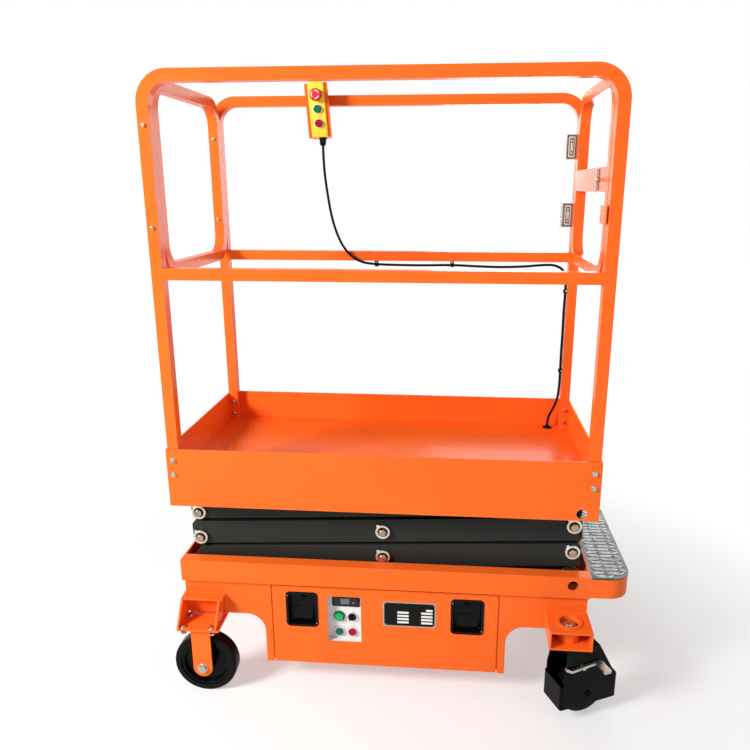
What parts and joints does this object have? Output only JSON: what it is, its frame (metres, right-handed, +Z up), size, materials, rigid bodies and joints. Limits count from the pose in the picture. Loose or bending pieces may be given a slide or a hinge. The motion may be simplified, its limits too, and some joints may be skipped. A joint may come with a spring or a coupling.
{
  "type": "scissor lift",
  "caption": "Compact push-around scissor lift, folded, with a guard-railed work platform, entry gate, castors, service door and a hand control box on a cable.",
  "frame": {"origin": "on the floor under the middle of the machine's bounding box", "axes": "+X along the machine towards the entry step and gate, +Y away from the service door side, +Z up"},
  "size_m": [1.318, 0.6912, 1.7677],
  "materials": {
    "orange": "glossy orange powder coat",
    "charcoal": "satin charcoal paint",
    "black_steel": "black coated steel",
    "zinc": "zinc plated",
    "chrome_rod": "hard chrome",
    "chequer": "bright chequer plate",
    "rubber": "solid black tyre",
    "black_plastic": "black moulded plastic",
    "nylon": "natural nylon",
    "panel_white": "white tray",
    "switches": "red and green buttons",
    "battery": "black battery case",
    "yellow": "yellow moulded box"
  },
  "bodies": {
    "base": {"side_channels": "orange", "end_plates": "orange", "floor_plate": "orange", "side_panels": "orange", "compartment": "orange", "power_pack": "battery", "rigid_brackets": "orange", "rigid_forks": "orange", "rigid_axles": "zinc", "swivel_brackets": "orange", "step_frame": "orange", "step_plate": "chequer"},
    "door": {"service_door": "orange", "door_latches": "black_plastic", "control_panel": "panel_white", "panel_controls": "switches"},
    "rigid_wheel_front": {"rigid_tyre_front": "rubber", "rigid_rim_front": "black_plastic"},
    "rigid_wheel_back": {"rigid_tyre_back": "rubber", "rigid_rim_back": "black_plastic"},
    "swivel_front": {"swivel_housing_front": "black_steel", "brake_pedal_front": "zinc"},
    "swivel_back": {"swivel_housing_back": "black_steel", "brake_pedal_back": "zinc"},
    "swivel_wheel_front": {"swivel_tyre_front": "rubber", "swivel_rim_front": "black_plastic"},
    "swivel_wheel_back": {"swivel_tyre_back": "rubber", "swivel_rim_back": "black_plastic"},
    "inner_1": {"inner_arms_1": "charcoal", "cross_tubes_1": "charcoal"},
    "inner_2": {"inner_arms_2": "charcoal", "cross_tubes_2": "charcoal"},
    "inner_3": {"inner_arms_3": "charcoal", "cross_tubes_3": "charcoal", "deck_rollers": "nylon"},
    "outer_1": {"outer_arms_1": "charcoal", "base_rollers": "nylon"},
    "outer_2": {"outer_arms_2": "charcoal"},
    "outer_3": {"outer_arms_3": "charcoal"},
    "cylinder_barrel": {"cylinder_barrel": "charcoal"},
    "cylinder_rod": {"cylinder_rod": "chrome_rod"},
    "platform": {"deck_plate": "orange", "skirt_sides": "orange", "skirt_ends": "orange", "deck_mounts": "orange", "guardrail_front": "orange", "guardrail_back": "orange", "end_rail": "orange", "leg_hinges": "zinc", "control_bracket": "orange", "control_box": "yellow", "control_buttons": "switches", "cable_fittings": "black_plastic", "control_cable": "black_plastic"},
    "gate": {"gate_frame": "orange", "gate_bolt": "zinc", "gate_hinges": "zinc"}
  },
  "joints": [
    {"name": "scissor_lift", "type": "hinge", "parent": "base", "child": "inner_1", "pos_m": [0.4985, 0, 0.385], "axis": [0, 1, 0], "range_deg": [0, 47.76]},
    {"name": "outer_1_cross", "type": "hinge", "parent": "inner_1", "child": "outer_1", "pos_m": [-0.0415, 0, 0.425], "axis": [0, -1, 0], "range_deg": [0, 95.58]},
    {"name": "outer_2_foot", "type": "hinge", "parent": "inner_1", "child": "outer_2", "pos_m": [-0.5815, 0, 0.465], "axis": [0, -1, 0], "range_deg": [0, 95.58]},
    {"name": "inner_2_cross", "type": "hinge", "parent": "outer_2", "child": "inner_2", "pos_m": [-0.0415, 0, 0.505], "axis": [0, 1, 0], "range_deg": [0, 95.58]},
    {"name": "inner_3_foot", "type": "hinge", "parent": "outer_2", "child": "inner_3", "pos_m": [0.4985, 0, 0.545], "axis": [0, 1, 0], "range_deg": [0, 95.58]},
    {"name": "outer_3_cross", "type": "hinge", "parent": "inner_3", "child": "outer_3", "pos_m": [-0.0415, 0, 0.585], "axis": [0, -1, 0], "range_deg": [0, 95.58]},
    {"name": "platform_pivot", "type": "hinge", "parent": "outer_3", "child": "platform", "pos_m": [0.4985, 0, 0.625], "axis": [0, 1, 0], "range_deg": [0, 47.79]},
    {"name": "cylinder_swing", "type": "hinge", "parent": "base", "child": "cylinder_barrel", "pos_m": [-0.5015, 0, 0.395], "axis": [0, -1, 0], "range_deg": [0, 4.57]},
    {"name": "cylinder_stroke", "type": "slide", "parent": "cylinder_barrel", "child": "cylinder_rod", "axis": [0.9975, 0, 0.0711], "range_m": [0, 0.10894]},
    {"name": "door_hinge", "type": "hinge", "parent": "base", "child": "door", "pos_m": [-0.03575, -0.222, 0.086], "axis": [1, 0, 0], "range_deg": [0, 90]},
    {"name": "gate_hinge", "type": "hinge", "parent": "platform", "child": "gate", "pos_m": [0.4775, 0.247, 1.238], "axis": [0, 0, -1], "range_deg": [0, 90]},
    {"name": "rigid_wheel_front_spin", "type": "hinge", "parent": "base", "child": "rigid_wheel_front", "pos_m": [-0.5655, -0.26, 0.0935], "axis": [0, 1, 0], "continuous": true},
    {"name": "swivel_front_turn", "type": "hinge", "parent": "base", "child": "swivel_front", "pos_m": [0.4875, -0.278, 0.238], "axis": [0, 0, 1], "continuous": true},
    {"name": "swivel_wheel_front_spin", "type": "hinge", "parent": "swivel_front", "child": "swivel_wheel_front", "pos_m": [0.53463, -0.25602, 0.075], "axis": [-0.4226, 0.9063, 0], "continuous": true},
    {"name": "rigid_wheel_back_spin", "type": "hinge", "parent": "base", "child": "rigid_wheel_back", "pos_m": [-0.5655, 0.26, 0.0935], "axis": [0, 1, 0], "continuous": true},
    {"name": "swivel_back_turn", "type": "hinge", "parent": "base", "child": "swivel_back", "pos_m": [0.4875, 0.278, 0.238], "axis": [0, 0, 1], "continuous": true},
    {"name": "swivel_wheel_back_spin", "type": "hinge", "parent": "swivel_back", "child": "swivel_wheel_back", "pos_m": [0.53463, 0.25602, 0.075], "axis": [0.4226, 0.9063, 0], "continuous": true}
  ],
  "couplings": [
    {"joint": "outer_1_cross", "follows": "scissor_lift", "ratio": 2},
    {"joint": "outer_2_foot", "follows": "scissor_lift", "ratio": 2},
    {"joint": "inner_2_cross", "follows": "scissor_lift", "ratio": 2},
    {"joint": "inner_3_foot", "follows": "scissor_lift", "ratio": 2},
    {"joint": "outer_3_cross", "follows": "scissor_lift", "ratio": 2},
    {"joint": "platform_pivot", "follows": "scissor_lift", "ratio": 1},
    {"joint": "cylinder_swing", "follows": "scissor_lift", "ratio": 0.095601},
    {"joint": "cylinder_stroke", "follows": "scissor_lift", "m_per_rad": 0.13062}
  ]
}
